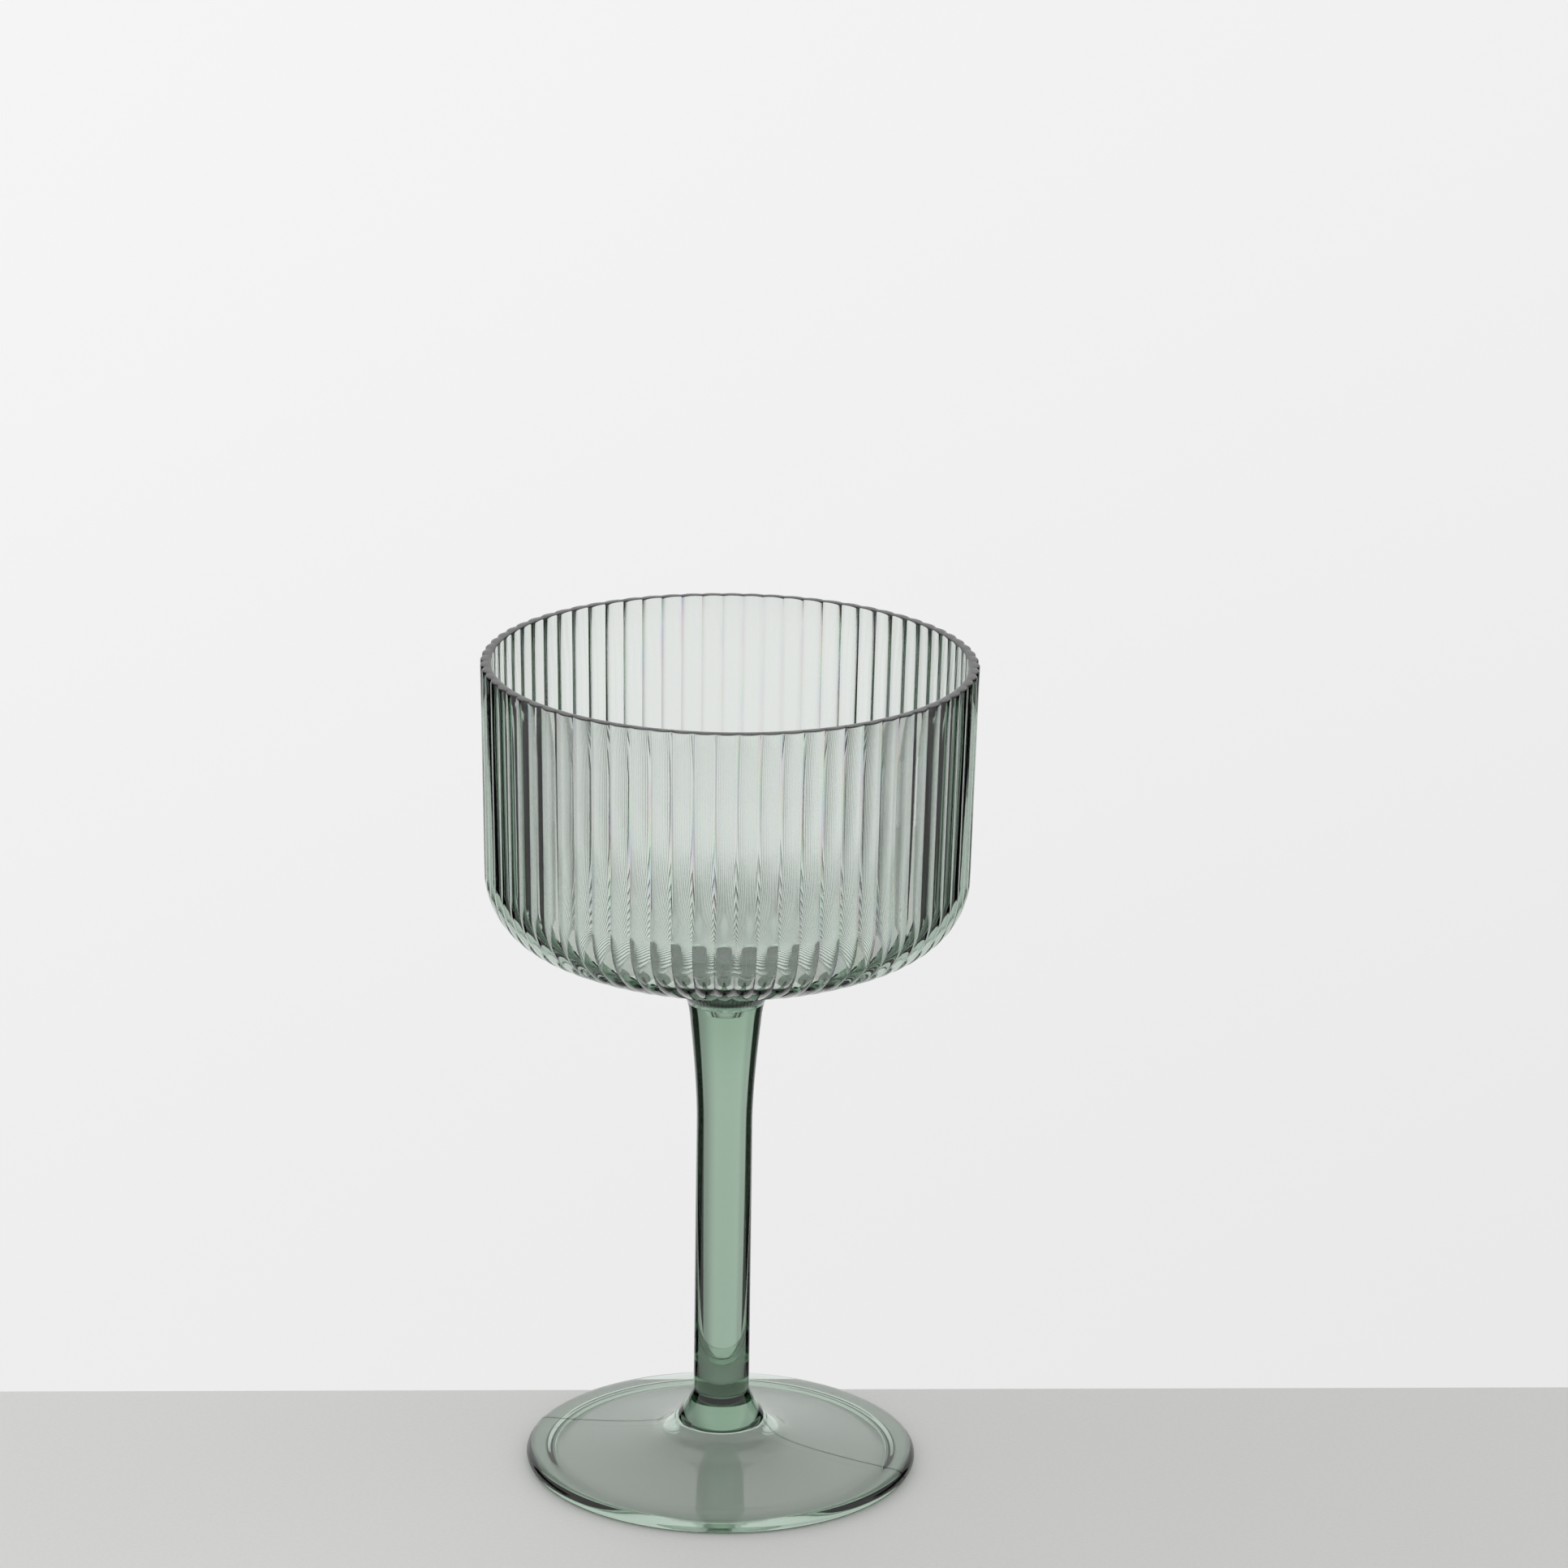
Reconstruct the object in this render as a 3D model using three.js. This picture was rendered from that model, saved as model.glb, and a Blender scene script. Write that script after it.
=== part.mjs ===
// A ribbed coupe wine glass in clear tinted plastic: a bowl with a pin under it, and a stem moulded
// in one with its foot, whose top end takes the pin. Millimetres, +Z up, the axis of the glass on Z,
// the surface it stands on at Z = 0.
import * as THREE from 'three';

// Driving dimensions
const HEIGHT = 155;
const RIM_R = 45;
const JOINT_Z = 90.4;
const JOINT_R = 7.1;
const JOINT_GAP = 0.3;
const FOOT_R = 36.2;
const STEM_R = 5.15;

// Bowl, outside, measured on the crests of the ribs
const WALL_DRAFT = THREE.MathUtils.degToRad(1.2);
const WALL_END_Z = 115.2;
const CORNER_R = 13.2;
const CORNER_END_SLOPE = THREE.MathUtils.degToRad(28);
const TURN_R = 46;
const CONE_SLOPE = THREE.MathUtils.degToRad(18.5);
const BOSS_FILLET_R = 7.5;
const BOSS_ANGLE = THREE.MathUtils.degToRad(27);

// Ribs: rounded outwards, with a sharp groove between one and the next
const RIB_COUNT = 72;
const RIB_DEPTH = 0.5;
const RIB_END_R = 11;
const RIB_FULL_R = 30;

// Bowl, inside
const LIP_THICKNESS = 2;
const LIP_BREAK = 0.3;
const INNER_DRAFT = THREE.MathUtils.degToRad(1.35);
const INNER_WALL_END_Z = 116;
const INNER_CORNER_R = 11.2;
const FLOOR_SLOPE = THREE.MathUtils.degToRad(20);
const FLOOR_Z = 99.2;

// Pin under the bowl, and its socket in the stem
const PIN_TOP_R = 2.6;
const PIN_END_R = 1.9;
const PIN_LENGTH = 1.8;

// Stem
const STEM_TOP_TAPER_Z = 68;
const STEM_NECK_R = 6.5;
const STEM_NECK_Z = 86.5;

// Foot
const STEM_FOOT_Z = 14.4;
const FILLET_END = new THREE.Vector2(11.2, 6.15);
const FILLET_PULL = new THREE.Vector2(STEM_R + 0.5, 12);
const FOOT_TOP_MID = new THREE.Vector2(16, 4.1);
const FOOT_TOP_OUTER = new THREE.Vector2(34.6, 2.75);
const EDGE_R = 1.3;
const REST_OUTER_R = 35.1;
const REST_INNER_R = 32.4;
const RECESS_EDGE = new THREE.Vector2(30.2, 1.3);
const RECESS_MID = new THREE.Vector2(13, 3.6);
const RECESS_NECK = new THREE.Vector2(7.3, 6.3);
const RECESS_TOP = new THREE.Vector2(5.2, 7.3);

const BOWL_SEGMENTS = RIB_COUNT * 2;
const STEM_SEGMENTS = 60;

// Points along an arc about (cx, cy), from angle a0 to a1, both ends included.
function arc(cx, cy, r, a0, a1, steps) {
  const points = [];
  for (let i = 0; i <= steps; i += 1) {
    const a = a0 + ((a1 - a0) * i) / steps;
    points.push(new THREE.Vector2(cx + r * Math.cos(a), cy + r * Math.sin(a)));
  }
  return points;
}

// Outside of the bowl from the boss up to the rim: fillet, cone, two arcs and the wall.
function bowlOutside() {
  const wallEndR = RIM_R - (HEIGHT - WALL_END_Z) * Math.tan(WALL_DRAFT);
  const cornerX = wallEndR - CORNER_R * Math.cos(WALL_DRAFT);
  const cornerY = WALL_END_Z + CORNER_R * Math.sin(WALL_DRAFT);
  const down = -Math.PI / 2;
  const corner = arc(cornerX, cornerY, CORNER_R, down + CORNER_END_SLOPE, -WALL_DRAFT, 6);

  const turnX = cornerX + (CORNER_R - TURN_R) * Math.cos(down + CORNER_END_SLOPE);
  const turnY = cornerY + (CORNER_R - TURN_R) * Math.sin(down + CORNER_END_SLOPE);
  const turn = arc(turnX, turnY, TURN_R, down + CONE_SLOPE, down + CORNER_END_SLOPE, 2);

  // The fillet leaves the joint at BOSS_ANGLE from upright and turns on to the slope of the cone.
  const coneTop = turn[0];
  const filletX = JOINT_R + BOSS_FILLET_R * Math.cos(BOSS_ANGLE);
  const filletY = JOINT_Z - BOSS_FILLET_R * Math.sin(BOSS_ANGLE);
  const fillet = arc(
    filletX, filletY, BOSS_FILLET_R, Math.PI - BOSS_ANGLE, Math.PI / 2 + CONE_SLOPE, 5
  );
  const coneMid = fillet[5].clone().lerp(coneTop, 0.5);
  return [...fillet, coneMid, ...turn, ...corner.slice(1), new THREE.Vector2(RIM_R, HEIGHT)];
}

// Inside of the bowl from the lip down to the axis.
function bowlInside() {
  const lipR = RIM_R - LIP_THICKNESS;
  const wallEndR = lipR - (HEIGHT - INNER_WALL_END_Z) * Math.tan(INNER_DRAFT);
  const cornerX = wallEndR - INNER_CORNER_R * Math.cos(INNER_DRAFT);
  const cornerY = INNER_WALL_END_Z + INNER_CORNER_R * Math.sin(INNER_DRAFT);
  const corner = arc(
    cornerX, cornerY, INNER_CORNER_R, -INNER_DRAFT, -Math.PI / 2 + FLOOR_SLOPE, 5
  );
  const floorEdge = corner[5];
  const dish = new THREE.QuadraticBezierCurve(
    floorEdge,
    new THREE.Vector2(floorEdge.x / 2, floorEdge.y - (floorEdge.x / 2) * Math.tan(FLOOR_SLOPE)),
    new THREE.Vector2(0, FLOOR_Z)
  );
  return [
    new THREE.Vector2(lipR + LIP_BREAK, HEIGHT),
    new THREE.Vector2(lipR, HEIGHT - LIP_BREAK),
    ...corner,
    ...dish.getPoints(3).slice(1),
  ];
}

// Turns a profile about Z, with its first and last points on the axis.
function turned(profile, segments) {
  return new THREE.LatheGeometry(profile, segments).rotateX(Math.PI / 2);
}

// Groove depth at a profile point of the given radius: none at the boss, full on the wall.
function grooveDepth(r) {
  return RIB_DEPTH * THREE.MathUtils.smoothstep(r, RIB_END_R, RIB_FULL_R);
}

function bowlGeometry() {
  const pinEndZ = JOINT_Z - PIN_LENGTH;
  const pin = [
    new THREE.Vector2(0, pinEndZ),
    new THREE.Vector2(PIN_END_R, pinEndZ),
    new THREE.Vector2(PIN_TOP_R, JOINT_Z),
  ];
  const outside = bowlOutside();
  const profile = [...pin, ...outside, ...bowlInside()];
  const geometry = turned(profile, BOWL_SEGMENTS);

  // Every second meridian is a groove: its outside points move in along the profile's normal.
  const position = geometry.attributes.position;
  for (let segment = 1; segment <= BOWL_SEGMENTS; segment += 2) {
    const angle = (segment / BOWL_SEGMENTS) * Math.PI * 2;
    for (let i = 0; i < outside.length; i += 1) {
      const before = outside[Math.max(i - 1, 0)];
      const after = outside[Math.min(i + 1, outside.length - 1)];
      const along = after.clone().sub(before).normalize();
      const depth = grooveDepth(outside[i].x);
      const atRim = i === outside.length - 1;
      const r = outside[i].x - depth * (atRim ? 1 : along.y);
      const z = outside[i].y + depth * (atRim ? 0 : along.x);
      const index = segment * profile.length + pin.length + i;
      position.setXYZ(index, r * Math.sin(angle), -r * Math.cos(angle), z);
    }
  }
  return geometry;
}

// Stem and foot in one moulding: socket, joint face, stem, fillet, foot and hollow underside.
function stemAndFootGeometry() {
  const topZ = JOINT_Z - JOINT_GAP;
  const socketZ = JOINT_Z - PIN_LENGTH - JOINT_GAP;
  const socket = [
    new THREE.Vector2(JOINT_R, topZ),
    new THREE.Vector2(PIN_TOP_R + JOINT_GAP, topZ),
    new THREE.Vector2(PIN_END_R + JOINT_GAP, socketZ),
    new THREE.Vector2(0, socketZ),
  ];
  const neck = new THREE.QuadraticBezierCurve(
    new THREE.Vector2(STEM_NECK_R, STEM_NECK_Z),
    new THREE.Vector2(STEM_NECK_R + 0.12, STEM_NECK_Z + 1.9),
    socket[0]
  );
  const taper = new THREE.CubicBezierCurve(
    new THREE.Vector2(STEM_R, STEM_TOP_TAPER_Z),
    new THREE.Vector2(STEM_R + 0.1, STEM_TOP_TAPER_Z + 6),
    new THREE.Vector2(STEM_NECK_R - 0.6, STEM_NECK_Z - 5.5),
    neck.v0
  );
  const fillet = new THREE.CubicBezierCurve(
    FILLET_END,
    new THREE.Vector2(FILLET_END.x - 2.2, FILLET_END.y + 1.2),
    FILLET_PULL,
    new THREE.Vector2(STEM_R, STEM_FOOT_Z)
  );
  const footTop = new THREE.QuadraticBezierCurve(FOOT_TOP_OUTER, FOOT_TOP_MID, FILLET_END);
  const edge = arc(
    FOOT_R - EDGE_R, EDGE_R, EDGE_R, THREE.MathUtils.degToRad(-75), THREE.MathUtils.degToRad(80), 5
  );
  // The underside follows the top of the foot and the flare, and is flat below the stem.
  const recessNeck = new THREE.QuadraticBezierCurve(
    RECESS_TOP, new THREE.Vector2(RECESS_NECK.x - 0.7, RECESS_TOP.y), RECESS_NECK
  );
  const recessFlare = new THREE.QuadraticBezierCurve(
    RECESS_NECK, new THREE.Vector2(RECESS_NECK.x + 2, RECESS_MID.y + 1.1), RECESS_MID
  );
  const recess = new THREE.QuadraticBezierCurve(
    RECESS_MID, new THREE.Vector2(RECESS_MID.x + 5, RECESS_MID.y - 0.95), RECESS_EDGE
  );
  const profile = [
    new THREE.Vector2(0, RECESS_TOP.y),
    ...recessNeck.getPoints(2),
    ...recessFlare.getPoints(3).slice(1),
    ...recess.getPoints(3).slice(1),
    new THREE.Vector2(REST_INNER_R, 0),
    new THREE.Vector2(REST_OUTER_R, 0),
    ...edge.slice(1),
    ...footTop.getPoints(4),
    ...fillet.getPoints(6).slice(1),
    ...taper.getPoints(4),
    ...neck.getPoints(3).slice(1),
    ...socket.slice(1),
  ];
  return turned(profile, STEM_SEGMENTS);
}

function clearPlastic(name) {
  return new THREE.MeshStandardMaterial({
    name,
    color: 0xa9bfae,
    roughness: 0.05,
    metalness: 0,
    transparent: true,
    opacity: 0.4,
  });
}

function buildBowl() {
  const mesh = new THREE.Mesh(bowlGeometry(), clearPlastic('bowl_plastic'));
  mesh.name = 'bowl';
  return mesh;
}

function buildStemAndFoot() {
  const mesh = new THREE.Mesh(stemAndFootGeometry(), clearPlastic('stem_plastic'));
  mesh.name = 'stem_and_foot';
  return mesh;
}

const wineGlass = new THREE.Group();
wineGlass.name = 'wine_glass';
wineGlass.add(buildBowl(), buildStemAndFoot());

export default wineGlass;
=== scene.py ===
"""A ribbed coupe wine glass in clear green-grey plastic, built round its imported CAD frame.

Sizes are written in millimetres and turned to metres by the constant mm.
"""
import math

import bmesh
import bpy
from mathutils import Matrix, Vector


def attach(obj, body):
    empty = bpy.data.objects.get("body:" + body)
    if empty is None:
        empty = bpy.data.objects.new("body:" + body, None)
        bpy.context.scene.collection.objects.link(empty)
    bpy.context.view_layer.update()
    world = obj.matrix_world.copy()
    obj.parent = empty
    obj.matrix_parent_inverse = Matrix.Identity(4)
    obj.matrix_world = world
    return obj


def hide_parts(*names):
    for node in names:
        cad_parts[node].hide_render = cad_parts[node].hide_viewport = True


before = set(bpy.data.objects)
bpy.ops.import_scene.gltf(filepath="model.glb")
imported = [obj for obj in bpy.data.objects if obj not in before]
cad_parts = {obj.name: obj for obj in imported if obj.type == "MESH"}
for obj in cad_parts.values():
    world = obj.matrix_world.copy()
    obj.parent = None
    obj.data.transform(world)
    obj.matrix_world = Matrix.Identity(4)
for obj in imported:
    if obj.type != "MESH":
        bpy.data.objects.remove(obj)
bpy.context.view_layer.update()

mm = 0.001


# ---------------------------------------------------------------------------------------------
# Bowl: one injection moulding in clear tinted plastic. Its 72 rounded ribs run from the rim, down
# the wall and round the corner, and die out towards the boss, which has a short tapered pin
# under it. The pin sits in a socket in the stem, where the two mouldings are welded.
# ---------------------------------------------------------------------------------------------
rim_radius, rim_height = 45.0, 155.0
boss_radius, boss_height = 7.1, 90.42
pin_top_radius, pin_end_radius, pin_length = 2.6, 1.9, 1.8

wall_draft = math.radians(1.2)
wall_foot_height = 115.2
corner_radius, corner_slope = 13.2, math.radians(28)
turn_radius, cone_slope = 46.0, math.radians(18.5)
boss_fillet_radius, boss_lean = 7.5, math.radians(27)

rib_count, rib_facets = 72, 10
groove_depth = 0.5
groove_start_radius, groove_full_radius = 8.0, 18.0

lip_thickness, lip_round = 2.0, 0.28
inner_draft = math.radians(1.35)
inner_wall_foot_height = 116.0
inner_corner_radius, floor_slope, floor_height = 11.2, math.radians(20), 99.2

plastic_refraction = 1.57
plastic_absorption = 1000.0
bowl_tint = (0.945, 0.962, 0.950, 1.0)
stress_strength, stress_band, stress_patch_scale = 0.16, 3.5, 45.0
skin_wave_scale, skin_wave_strength, skin_wave_depth, skin_haze = 260.0, 0.12, 0.05, 0.03


def arc(centre_x, centre_z, radius, start, end, steps):
    """Points on a round of the outline, from one angle to another."""
    angles = [start + (end - start) * i / steps for i in range(steps + 1)]
    return [(centre_x + radius * math.cos(a), centre_z + radius * math.sin(a)) for a in angles]


def flow(points, steps):
    """Points on a smooth curve drawn by its end points and the pull points between them."""
    line = []
    for i in range(steps + 1):
        t, row = i / steps, list(points)
        while len(row) > 1:
            row = [
                (a[0] + (b[0] - a[0]) * t, a[1] + (b[1] - a[1]) * t) for a, b in zip(row, row[1:])
            ]
        line.append(row[0])
    return line


def start_moulding(name):
    """An empty mesh object in edit mode, ready for its outlines."""
    bpy.ops.object.select_all(action="DESELECT")
    bpy.ops.mesh.primitive_plane_add(size=mm, location=(0, 0, 0))
    piece = bpy.context.object
    piece.name = piece.data.name = name
    bpy.ops.object.mode_set(mode="EDIT")
    bpy.ops.mesh.delete(type="VERT")
    return piece


def turn_outline(outline, start_angle, steps, repeats=1):
    """Draws an outline of (radius, height) points and spins it round the upright axis.
    With repeats, one share of the turn is spun and then copied round."""
    start = Matrix.Rotation(start_angle, 3, "Z")
    places = [start @ Vector((r * mm, 0, z * mm)) for r, z in outline]
    bpy.ops.mesh.select_mode(type="VERT")
    bpy.ops.mesh.select_all(action="DESELECT")
    bpy.ops.mesh.primitive_plane_add(size=mm, location=places[0])
    bpy.ops.mesh.merge(type="CENTER")
    for here, there in zip(places, places[1:]):
        bpy.ops.mesh.extrude_vertices_move(TRANSFORM_OT_translate={"value": there - here})
    bpy.ops.mesh.select_all(action="SELECT")
    share = math.tau / repeats
    bpy.ops.mesh.spin(steps=steps, angle=share, center=(0, 0, 0), axis=(0, 0, 1))
    bpy.ops.mesh.select_all(action="SELECT")
    if repeats > 1:
        bpy.ops.mesh.spin(
            steps=repeats - 1, dupli=True, angle=math.tau - share, center=(0, 0, 0), axis=(0, 0, 1)
        )
        bpy.ops.mesh.select_all(action="SELECT")
    bpy.ops.mesh.remove_doubles(threshold=0.002 * mm)
    bpy.ops.mesh.normals_make_consistent(inside=False)


def pull_ring(here, there):
    """Extrudes the selected ring from one outline point to the next."""
    bpy.ops.mesh.extrude_edges_move(
        TRANSFORM_OT_translate={"value": (0, 0, (there[1] - here[1]) * mm)}
    )
    share = there[0] / here[0]
    bpy.ops.transform.resize(value=(share, share, 1), center_override=(0, 0, 0))


def select_edges(piece, wanted):
    """Selects in edit mode just the edges that the test picks."""
    bpy.ops.mesh.select_mode(type="EDGE")
    bpy.ops.mesh.select_all(action="DESELECT")
    mesh = bmesh.from_edit_mesh(piece.data)
    for edge in mesh.edges:
        if wanted(edge):
            edge.select = True
    mesh.select_flush_mode()
    bmesh.update_edit_mesh(piece.data)


def apply_modifiers(piece):
    bpy.context.view_layer.objects.active = piece
    for modifier in list(piece.modifiers):
        bpy.ops.object.modifier_apply(modifier=modifier.name)


wall_foot_radius = rim_radius - (rim_height - wall_foot_height) * math.tan(wall_draft)
corner_x = wall_foot_radius - corner_radius * math.cos(wall_draft)
corner_z = wall_foot_height + corner_radius * math.sin(wall_draft)
straight_down = -math.pi / 2
corner = arc(
    corner_x, corner_z, corner_radius, straight_down + corner_slope, -wall_draft, 22
)
turn_x = corner_x + (corner_radius - turn_radius) * math.cos(straight_down + corner_slope)
turn_z = corner_z + (corner_radius - turn_radius) * math.sin(straight_down + corner_slope)
turn = arc(
    turn_x, turn_z, turn_radius, straight_down + cone_slope, straight_down + corner_slope, 5
)
boss_fillet = arc(
    boss_radius + boss_fillet_radius * math.cos(boss_lean),
    boss_height - boss_fillet_radius * math.sin(boss_lean),
    boss_fillet_radius, math.pi - boss_lean, math.pi / 2 + cone_slope, 8,
)
cone = flow([boss_fillet[-1], turn[0]], 12)
wall = flow([corner[-1], (rim_radius, rim_height - lip_round)], 8)
bowl_outside = [
    (0, boss_height - pin_length),
    (pin_end_radius, boss_height - pin_length),
    (pin_top_radius, boss_height),
    *boss_fillet, *cone[1:-1], *turn, *corner[1:], *wall[1:],
]

lip_inner_radius = rim_radius - lip_thickness
inner_foot_radius = (
    lip_inner_radius - (rim_height - inner_wall_foot_height) * math.tan(inner_draft)
)
inner_corner = arc(
    inner_foot_radius - inner_corner_radius * math.cos(inner_draft),
    inner_wall_foot_height + inner_corner_radius * math.sin(inner_draft),
    inner_corner_radius, -inner_draft, straight_down + floor_slope, 16,
)
floor_edge_radius, floor_edge_height = inner_corner[-1]
dish = flow(
    [
        inner_corner[-1],
        (
            floor_edge_radius / 2,
            floor_edge_height - floor_edge_radius / 2 * math.tan(floor_slope),
        ),
        (0, floor_height),
    ],
    9,
)
inner_wall = flow([(lip_inner_radius, rim_height - lip_round), inner_corner[0]], 4)
bowl_inside = [*inner_wall[1:], *inner_corner[1:], *dish[1:-1]]

first_crest = -math.pi / 2

bowl = start_moulding("ribbed_bowl")
turn_outline(bowl_outside, first_crest, rib_facets, rib_count)
bpy.ops.object.mode_set(mode="OBJECT")

grooves = bowl.vertex_groups.new(name="grooves")
for vertex in bowl.data.vertices:
    x, y, z = vertex.co
    radius = math.hypot(x, y) / mm
    fade = (radius - groove_start_radius) / (groove_full_radius - groove_start_radius)
    fade = min(max(fade, 0), 1)
    turns = (math.atan2(y, x) - first_crest) / math.tau * rib_count
    off_crest = 2 * abs(turns - round(turns))
    weight = math.sqrt(fade) * off_crest**2
    if weight > 0 and z > boss_height * mm:
        grooves.add([vertex.index], weight, "REPLACE")
cut = bowl.modifiers.new("grooves", "DISPLACE")
cut.direction = "NORMAL"
cut.mid_level = 0
cut.strength = -groove_depth * mm
cut.vertex_group = grooves.name
apply_modifiers(bowl)

# The lip: the fluted ring is rounded over, drawn in flat and brought to a true circle.
lip_outer = arc(rim_radius - lip_round, rim_height - lip_round, lip_round, 0, math.pi / 2, 3)
lip_inner = arc(
    lip_inner_radius + lip_round, rim_height - lip_round, lip_round, math.pi / 2, math.pi, 3
)
bpy.ops.object.mode_set(mode="EDIT")
select_edges(bowl, lambda edge: edge.is_boundary)
bpy.ops.transform.resize(
    value=(1, 1, 0), center_override=(0, 0, (rim_height - lip_round) * mm)
)
for here, there in zip(lip_outer, [*lip_outer[1:], lip_inner[0]]):
    pull_ring(here, there)
bpy.ops.mesh.select_mode(type="VERT")
ring_mesh = bmesh.from_edit_mesh(bowl.data)
radii = {round(v.co.xy.length, 6) for v in ring_mesh.verts if v.select}
for radius in radii:
    ring_mesh = bmesh.from_edit_mesh(bowl.data)
    bpy.ops.mesh.select_all(action="DESELECT")
    for vertex in ring_mesh.verts:
        on_lip = abs(vertex.co.z - rim_height * mm) < 0.001 * mm
        if on_lip and abs(vertex.co.xy.length - radius) < 0.002 * mm:
            vertex.select = True
    ring_mesh.select_flush_mode()
    share = lip_inner[0][0] * mm / radius
    bpy.ops.transform.resize(value=(share, share, 1), center_override=(0, 0, 0))
select_edges(bowl, lambda edge: edge.is_boundary)
inside = [*lip_inner, *bowl_inside]
for here, there in zip(inside, inside[1:]):
    pull_ring(here, there)
bpy.ops.mesh.merge(type="CENTER")
bpy.ops.mesh.select_all(action="SELECT")
bpy.ops.mesh.normals_make_consistent(inside=False)
bpy.ops.object.mode_set(mode="OBJECT")
bpy.ops.object.shade_smooth_by_angle(angle=math.radians(32))


class Socket:
    """A shader socket that can be used in a Python sum."""

    def __init__(self, tree, socket):
        self.tree, self.socket = tree, socket

    @classmethod
    def node(cls, tree, kind, settings=None, **inputs):
        """Adds any node, its settings first, then the value or link of each socket."""
        made = tree.nodes.new(kind)
        for setting, value in (settings or {}).items():
            setattr(made, setting, value)
        for name, value in inputs.items():
            place = int(name[1:]) if name[0] == "i" and name[1:].isdigit() else None
            target = made.inputs[name.replace("_", " ") if place is None else place]
            if isinstance(value, Socket):
                tree.links.new(value.socket, target)
            else:
                target.default_value = value
        return made

    def math(self, operation, *others, clamp=False):
        values = {f"i{i}": value for i, value in enumerate([self, *others])}
        made = self.node(
            self.tree, "ShaderNodeMath", {"operation": operation, "use_clamp": clamp}, **values
        )
        return Socket(self.tree, made.outputs[0])

    def __add__(self, other):
        return self.math("ADD", other)

    def __sub__(self, other):
        return self.math("SUBTRACT", other)

    def __rsub__(self, other):
        return (self * -1).math("ADD", other)

    def __mul__(self, other):
        return self.math("MULTIPLY", other)

    def __truediv__(self, other):
        return self.math("DIVIDE", other)

    __radd__, __rmul__ = __add__, __mul__


def between(value, low, high, to_low=0.0, to_high=1.0):
    """Eases from one level to another while the value goes from low to high."""
    made = Socket.node(
        value.tree, "ShaderNodeMapRange", {"interpolation_type": "SMOOTHSTEP", "clamp": True},
        i0=value, i1=low, i2=high, i3=to_low, i4=to_high,
    )
    return Socket(value.tree, made.outputs[0])


def rib_stress_colours(tree, place):
    """The faint rainbow that strain in the plastic gives along each groove."""
    parts = Socket.node(tree, "ShaderNodeSeparateXYZ", Vector=place)
    x, y, z = (Socket(tree, parts.outputs[i]) for i in range(3))
    turns = y.math("ARCTAN2", x) * (rib_count / math.tau)
    off_groove = (turns.math("FRACT") - 0.5).math("ABSOLUTE")
    line = between(off_groove, 0.14, 0.03) * stress_strength
    patches = Socket.node(
        tree, "ShaderNodeTexNoise", Vector=place, Scale=stress_patch_scale, Detail=1.0
    )
    line = line * between(Socket(tree, patches.outputs[0]), 0.42, 0.62)
    order = z * (1 / (stress_band * mm)) + turns.math("FLOOR") * 1.9
    bands = [1.0 - line * ((order + lag).math("SINE") * 0.5 + 0.5) for lag in (0.0, 2.1, 4.2)]
    made = Socket.node(
        tree, "ShaderNodeCombineColor", Red=bands[0], Green=bands[1], Blue=bands[2]
    )
    return Socket(tree, made.outputs[0])


def clear_plastic(name, tint, colours=None):
    """Clear moulded plastic whose green-grey deepens with the thickness of the wall. Its skin is
    very slightly wavy, and a little hazy where the waves are highest."""
    material = bpy.data.materials.new(name)
    material.use_nodes = True
    tree = material.node_tree
    tree.nodes.clear()
    place = Socket(tree, Socket.node(tree, "ShaderNodeTexCoord").outputs["Object"])
    noise = Socket.node(
        tree, "ShaderNodeTexNoise", Vector=place, Scale=skin_wave_scale, Detail=3.0
    )
    wave = Socket(tree, noise.outputs[0])
    skin = Socket.node(
        tree, "ShaderNodeBump",
        Strength=skin_wave_strength, Distance=skin_wave_depth * mm, Height=wave,
    )
    shell = Socket.node(
        tree, "ShaderNodeBsdfPrincipled",
        Base_Color=colours(tree, place) if colours else (1, 1, 1, 1),
        Roughness=between(wave, 0.5, 0.75, 0.0, skin_haze), IOR=plastic_refraction,
        Transmission_Weight=1.0, Normal=Socket(tree, skin.outputs[0]),
    )
    inside = Socket.node(
        tree, "ShaderNodeVolumeAbsorption", Color=tint, Density=plastic_absorption
    )
    Socket.node(
        tree, "ShaderNodeOutputMaterial",
        Surface=Socket(tree, shell.outputs[0]), Volume=Socket(tree, inside.outputs[0]),
    )
    return material


bowl.data.materials.append(clear_plastic("bowl_plastic", bowl_tint, rib_stress_colours))
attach(bowl, "root")
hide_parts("bowl")


# ---------------------------------------------------------------------------------------------
# Stem and foot: one injection moulding in the same plastic. The stem flares at its top to take
# the bowl's pin, and at its bottom into a dished round foot, which is hollowed underneath and
# stands on a narrow ring. A fine parting line crosses the foot and climbs the flare.
# ---------------------------------------------------------------------------------------------
weld_gap = 0.03
stem_radius = 5.15
stem_taper_height = 68.0
neck_radius, neck_height = 6.5, 86.5
stem_flare_height = 14.4
flare_radius, flare_height = 11.2, 6.15
foot_radius, foot_edge_round = 36.2, 1.3
foot_shoulder_radius, foot_shoulder_height = 34.6, 2.75
rest_outer_radius, rest_inner_radius = 34.9, 32.8
recess_top, recess_neck = (5.2, 7.3), (7.3, 6.3)
recess_bend, recess_edge = (13.0, 3.6), (30.2, 1.3)
recess_neck_pull, recess_bend_pull, recess_edge_pull = (6.6, 7.3), (9.3, 4.7), (18.0, 2.65)
rest_ring_pulls = (31.6, 1.0), (31.9, 0)
foot_edge_pull, foot_top_pull = (36.05, 0.05), (16, 4.1)
flare_pulls = (9.0, 7.35), (5.65, 12)
stem_steps = 180
parting_angle = math.radians(-19)
seam_width, seam_height = 0.3, 0.16
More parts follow.
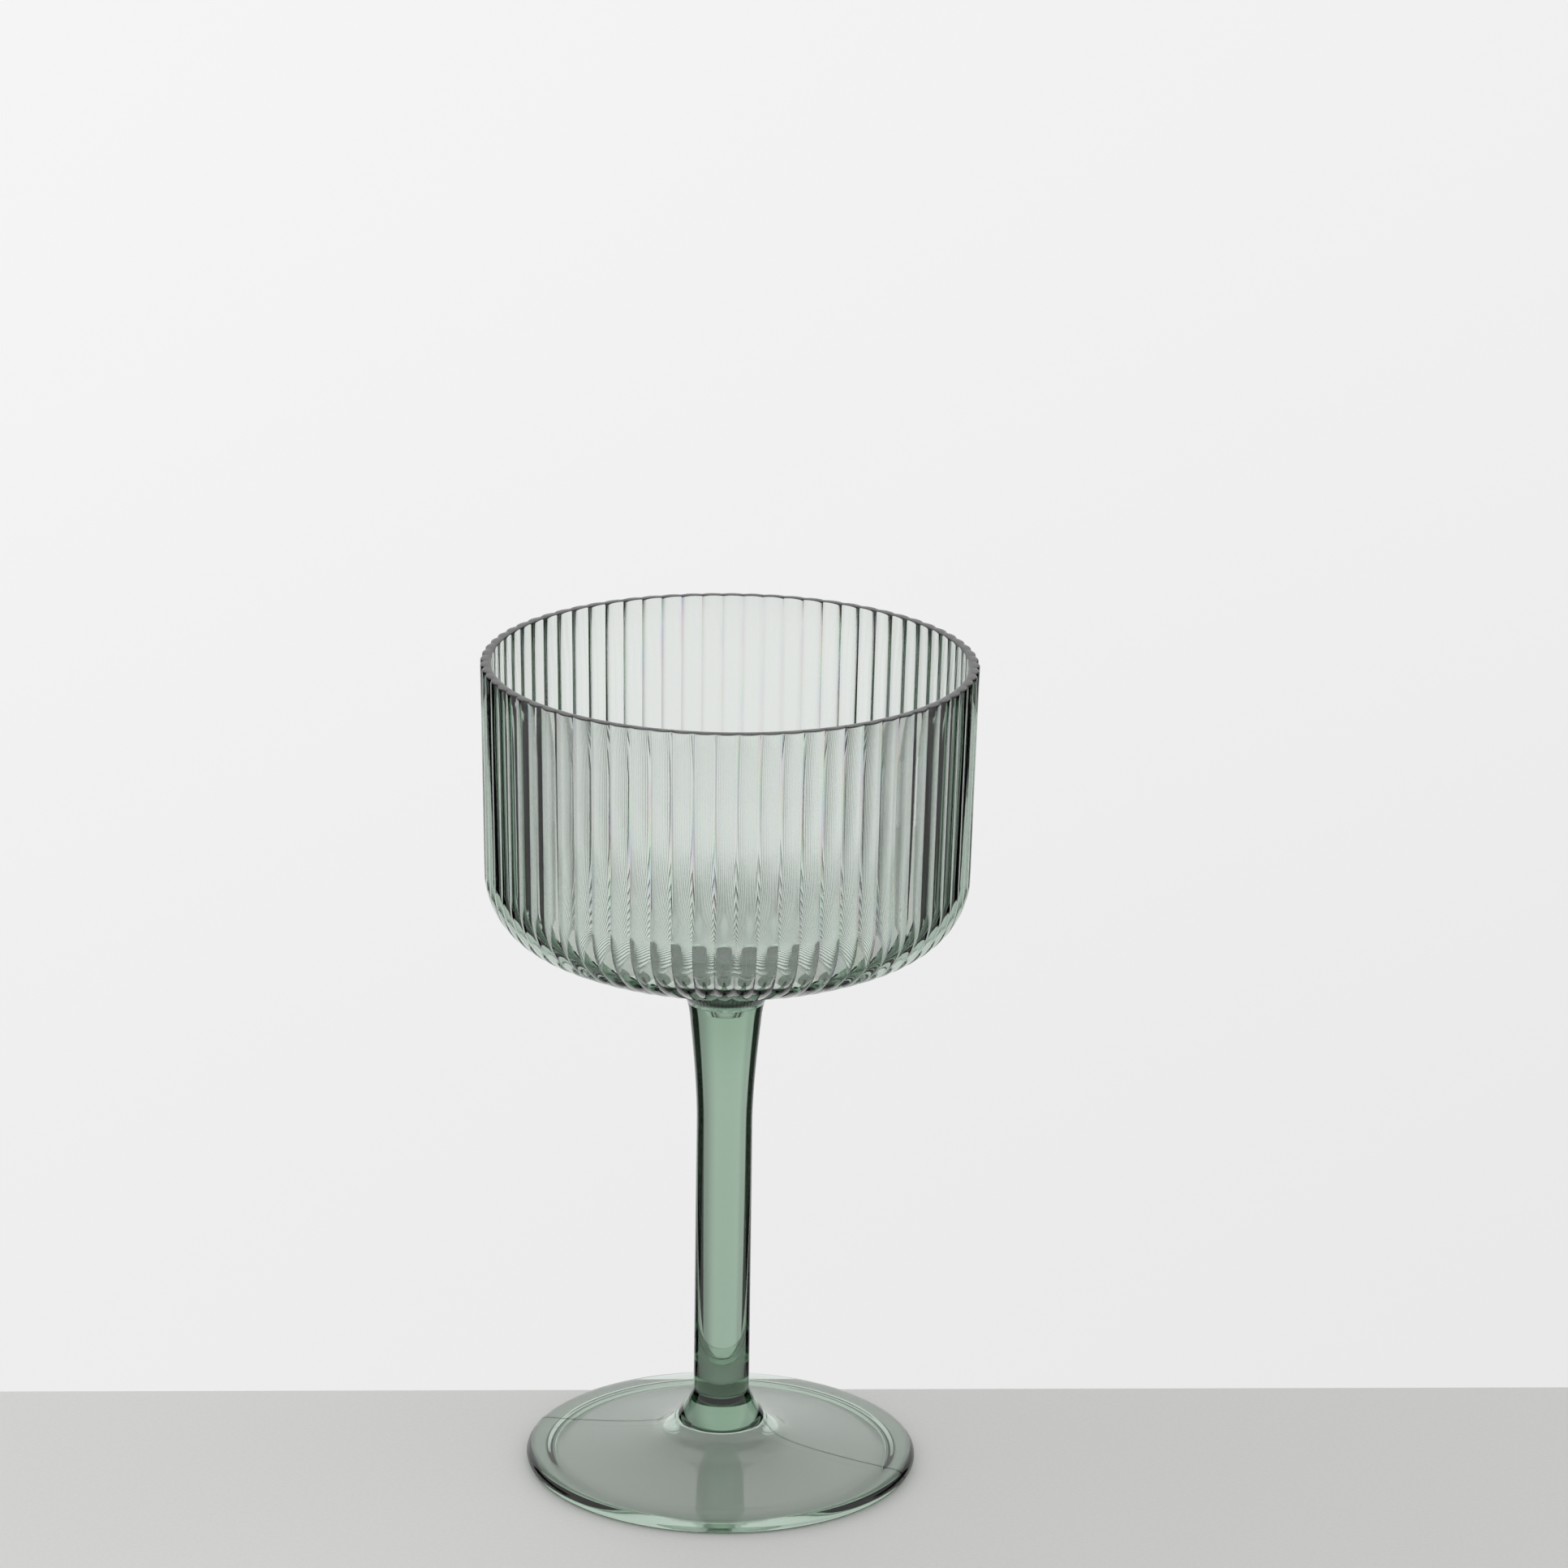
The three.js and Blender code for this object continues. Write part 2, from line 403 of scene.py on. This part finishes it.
stem_tint = (0.908, 0.938, 0.916, 1.0)

joint_height = boss_height - weld_gap
socket_height = joint_height - pin_length
recess = [
    (0, recess_top[1]),
    *flow([recess_top, recess_neck_pull, recess_neck], 8),
    *flow([recess_neck, recess_bend_pull, recess_bend], 10)[1:],
    *flow([recess_bend, recess_edge_pull, recess_edge], 10)[1:],
    *flow([recess_edge, *rest_ring_pulls, (rest_inner_radius, 0)], 6)[1:-1],
]
foot_edge = [
    *flow([(rest_outer_radius, 0), foot_edge_pull, (foot_radius, foot_edge_round)], 8),
    *arc(
        foot_radius - foot_edge_round, foot_edge_round, foot_edge_round,
        0, math.radians(80), 8,
    )[1:],
]
foot_top = flow(
    [(foot_shoulder_radius, foot_shoulder_height), foot_top_pull, (flare_radius, flare_height)],
    14,
)
flare = flow(
    [(flare_radius, flare_height), *flare_pulls, (stem_radius, stem_flare_height)], 14
)
stem_taper = flow(
    [
        (stem_radius, stem_taper_height), (stem_radius + 0.1, stem_taper_height + 6),
        (neck_radius - 0.6, neck_height - 5.5), (neck_radius, neck_height),
    ],
    12,
)
neck = flow(
    [(neck_radius, neck_height), (neck_radius + 0.12, neck_height + 1.9),
     (boss_radius, joint_height)],
    6,
)
stem_outline = [
    *recess,
    (rest_inner_radius, 0),
    *foot_edge, *foot_top, *flare[1:], *stem_taper, *neck[1:],
    (pin_top_radius + weld_gap, joint_height),
    (pin_end_radius + weld_gap, socket_height),
    (0, socket_height),
]

stem = start_moulding("stem_and_foot_moulding")
turn_outline(stem_outline, parting_angle, stem_steps)

# The parting line: a fine raised seam over the top of the foot and up the flare, on both sides.
across = Vector((-math.sin(parting_angle), math.cos(parting_angle), 0))


def on_seam(edge):
    in_plane = all(abs(v.co.dot(across)) < 0.001 * mm for v in edge.verts)
    facing_up = all(v.normal.z > 0.02 for v in edge.verts)
    on_foot = all(v.co.xy.length > (stem_radius + 0.02) * mm for v in edge.verts)
    below_stem = all(v.co.z < stem_flare_height * mm for v in edge.verts)
    return in_plane and facing_up and on_foot and below_stem


select_edges(stem, on_seam)
bpy.ops.mesh.bevel(offset=seam_width / 2 * mm, segments=1, affect="EDGES")
bpy.ops.mesh.extrude_region_shrink_fatten(
    TRANSFORM_OT_shrink_fatten={"value": seam_height * mm}
)
bpy.ops.object.mode_set(mode="OBJECT")
bpy.ops.object.shade_smooth_by_angle(angle=math.radians(32))
stem.data.materials.append(clear_plastic("stem_plastic", stem_tint))
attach(stem, "root")
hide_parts("stem_and_foot")


# ---------------------------------------------------------------------------------------------
# Studio: a pale grey table whose back edge runs just behind the foot, a bright white surround
# with dark panels at its sides, and a long-lens camera looking down on the glass.
# ---------------------------------------------------------------------------------------------
table_width, table_depth, table_thickness, table_drop = 800.0, 2000.0, 30.0, 0.03
table_back, table_skew = 32.5, 0.045
# The table's colour is painted lighter at the left and darker at the right: painted light and
# shade from the uneven surround.
table_left_painted_light, table_right_painted_shade, painted_light_reach = 0.83, 0.735, 0.15
screen_left_fade, screen_right_fade = (-24.0, -34.0), (10.0, 36.0)
flag_middle, flag_inner_edge, flag_outer_edge = -2.0, (40.0, 44.0), (84.0, 78.0)
flag_bottom, flag_top = (-85.0, -75.0), (25.0, 12.0)
bpy.ops.object.select_all(action="DESELECT")
bpy.ops.mesh.primitive_cube_add(size=1, location=(0, 0, 0))
table = bpy.context.object
table.name = "table"
table.data.transform(
    Matrix.Diagonal((table_width * mm, table_depth * mm, table_thickness * mm, 1.0))
)
table.data.transform(
    Matrix.Translation(
        (0, (table_back - table_depth / 2) * mm, -(table_thickness / 2 + table_drop) * mm)
    )
)
for vertex in table.data.vertices:
    vertex.co.y += vertex.co.x * table_skew
material = bpy.data.materials.new("table_board")
material.use_nodes = True
tree = material.node_tree
board = tree.nodes["Principled BSDF"]
place = Socket(tree, Socket.node(tree, "ShaderNodeTexCoord").outputs["Object"])
parts = Socket.node(tree, "ShaderNodeSeparateXYZ", Vector=place)
noise = Socket.node(tree, "ShaderNodeTexNoise", Vector=place, Scale=1400.0, Detail=4.0)
grain = Socket(tree, noise.outputs[0])
across_table = Socket(tree, parts.outputs[0])
# Painted light and shade: the board's colour eases from lighter at the left to darker at the
# right, then takes the fine grain of its surface.
board_colour_with_painted_light = between(across_table, -painted_light_reach, painted_light_reach, table_left_painted_light, table_right_painted_shade)
board_colour_with_painted_light = board_colour_with_painted_light * between(grain, 0.3, 0.7, 0.98, 1.01)
shade = Socket.node(
    tree, "ShaderNodeCombineColor", Red=board_colour_with_painted_light, Green=board_colour_with_painted_light * 1.003, Blue=board_colour_with_painted_light * 0.975
)
grit = Socket.node(tree, "ShaderNodeBump", Strength=0.2, Distance=0.1 * mm, Height=grain)
tree.links.new(shade.outputs[0], board.inputs["Base Color"])
tree.links.new(grit.outputs[0], board.inputs["Normal"])
board.inputs["Roughness"].default_value = 0.6
table.data.materials.append(material)

studio = bpy.data.worlds.new("studio")
studio.use_nodes = True
bpy.context.scene.world = studio
tree = studio.node_tree
tree.nodes.clear()
direction = Socket.node(tree, "ShaderNodeTexCoord")
parts = Socket.node(
    tree, "ShaderNodeSeparateXYZ", Vector=Socket(tree, direction.outputs["Generated"])
)
dx, dy, dz = (Socket(tree, parts.outputs[i]) for i in range(3))
side = dx.math("ARCTAN2", dy) * (180 / math.pi)
height = dz.math("ARCSINE") * (180 / math.pi)
screen = 1.0 - between(side, *screen_right_fade) * 0.45 - between(side, *screen_left_fade) * 0.2
screen = screen * between(height, -24.0, -8.0, 0.84, 0.91)
off_axis = (side - flag_middle).math("ABSOLUTE")
flag = between(off_axis, *flag_inner_edge) * between(off_axis, *flag_outer_edge)
flag = flag * between(height, *flag_bottom) * between(height, *flag_top)
around = between(off_axis, 60.0, 80.0)
surround = (screen * (1.0 - around) + around * 0.85) * (1.0 - flag * 0.98)
seen = between(height, -24.0, -10.0, 0.83, 0.895) + between(side, -20.0, 20.0, 0.04, -0.04)
rays = Socket.node(tree, "ShaderNodeLightPath")
direct = Socket(tree, rays.outputs["Is Camera Ray"])
level = seen * direct + surround * (1.0 - direct)
background = Socket.node(
    tree, "ShaderNodeBackground", Color=(1, 1, 1, 1), Strength=level
)
Socket.node(tree, "ShaderNodeOutputWorld", Surface=Socket(tree, background.outputs[0]))

camera_data = bpy.data.cameras.new("camera")
camera_data.lens, camera_data.sensor_width = 156.5, 36.0
camera = bpy.data.objects.new("camera", camera_data)
bpy.context.scene.collection.objects.link(camera)
camera.matrix_world = (
    Matrix.Translation((0.01002, -1.1761, 0.5044))
    @ Matrix.Rotation(math.radians(90 - 17.57), 4, "X")
    @ Matrix.Rotation(math.radians(0.845), 4, "Z")
)
bpy.context.scene.camera = camera
bpy.context.scene.view_settings.view_transform = "Standard"
